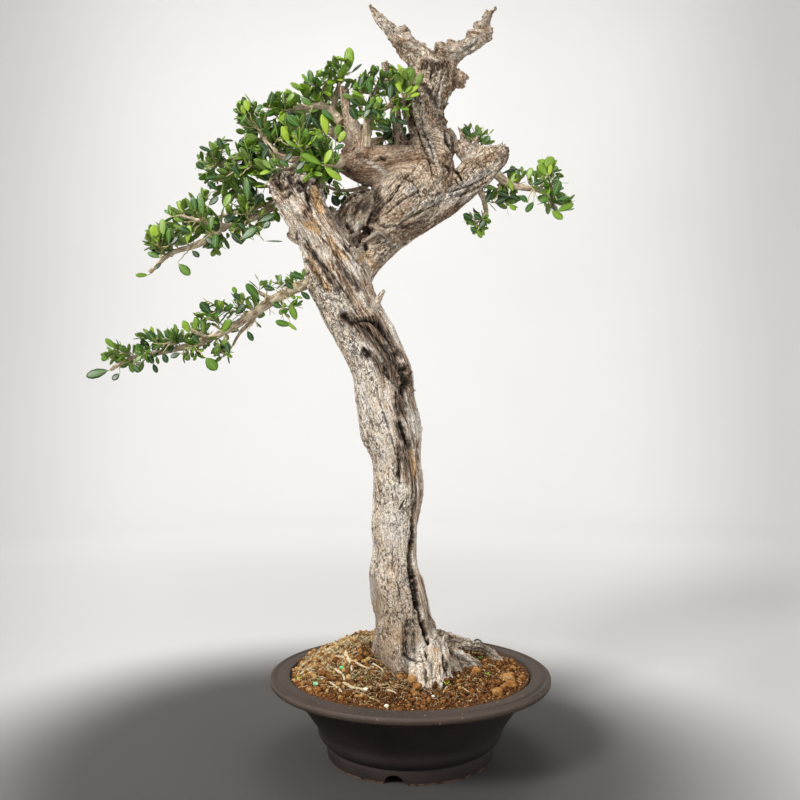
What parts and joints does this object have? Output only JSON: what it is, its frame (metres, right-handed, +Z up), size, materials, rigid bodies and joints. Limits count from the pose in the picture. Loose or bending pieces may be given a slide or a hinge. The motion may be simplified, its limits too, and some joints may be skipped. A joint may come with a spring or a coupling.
{
  "type": "potted olive bonsai",
  "caption": "Small tree with a tall bending trunk, bleached dead branch tips and leafy side branches, growing from soil in a round wide-rimmed unglazed pot.",
  "frame": {"origin": "the middle of the underside of the whole plant's box; the pot's axis stands 71.6 mm from it along +X", "axes": "+Z up, the plant's front faces -Y, the long lower branch points to -X"},
  "size_m": [0.5148, 0.3, 0.8411],
  "materials": {
    "clay": "unglazed, dark brown, matte",
    "soil": "loose baked clay granules",
    "trunk_wood": "bark and weathered deadwood",
    "branch_wood": "young bark",
    "leaves": "glossy green leaves",
    "screen_plastic": "moulded mesh",
    "wire": "dark anodised",
    "pebble": "rough",
    "fertiliser": "pressed pellet"
  },
  "bodies": {
    "root": {"arm_twig": "branch_wood", "crown_back_branch": "branch_wood", "crown_front_branch": "branch_wood", "crown_left_branch": "branch_wood", "crown_right_branch": "branch_wood", "crown_top_branch": "branch_wood", "drain_screen": "screen_plastic", "fertiliser_pellet_1": "fertiliser", "fertiliser_pellet_2": "fertiliser", "fertiliser_pellet_3": "fertiliser", "fertiliser_pellet_4": "fertiliser", "foliage_arm_top": "leaves", "foliage_behind_stub": "leaves", "foliage_crown_back": "leaves", "foliage_crown_back_right": "leaves", "foliage_crown_far_left": "leaves", "foliage_crown_front": "leaves", "foliage_crown_left_front": "leaves", "foliage_crown_left_top": "leaves", "foliage_crown_middle": "leaves", "foliage_crown_right": "leaves", "foliage_crown_top": "leaves", "foliage_crown_top_right": "leaves", "foliage_lower_left_base": "leaves", "foliage_lower_left_inner": "leaves", "foliage_lower_left_middle": "leaves", "foliage_lower_left_tip": "leaves", "foliage_lower_right": "leaves", "foliage_right_inner": "leaves", "foliage_right_tip": "leaves", "foliage_upper_left_inner": "leaves", "foliage_upper_left_middle": "leaves", "foliage_upper_left_tip": "leaves", "lower_left_branch": "branch_wood", "lower_right_twig": "branch_wood", "pot": "clay", "right_branch": "branch_wood", "screen_wire": "wire", "soil": "soil", "surface_stone_1": "pebble", "surface_stone_2": "pebble", "surface_stone_3": "pebble", "surface_stone_4": "pebble", "surface_stone_5": "pebble", "surface_stone_6": "pebble", "tie_down_wire": "wire", "trunk": "trunk_wood", "upper_left_branch": "branch_wood"}
  },
  "joints": []
}
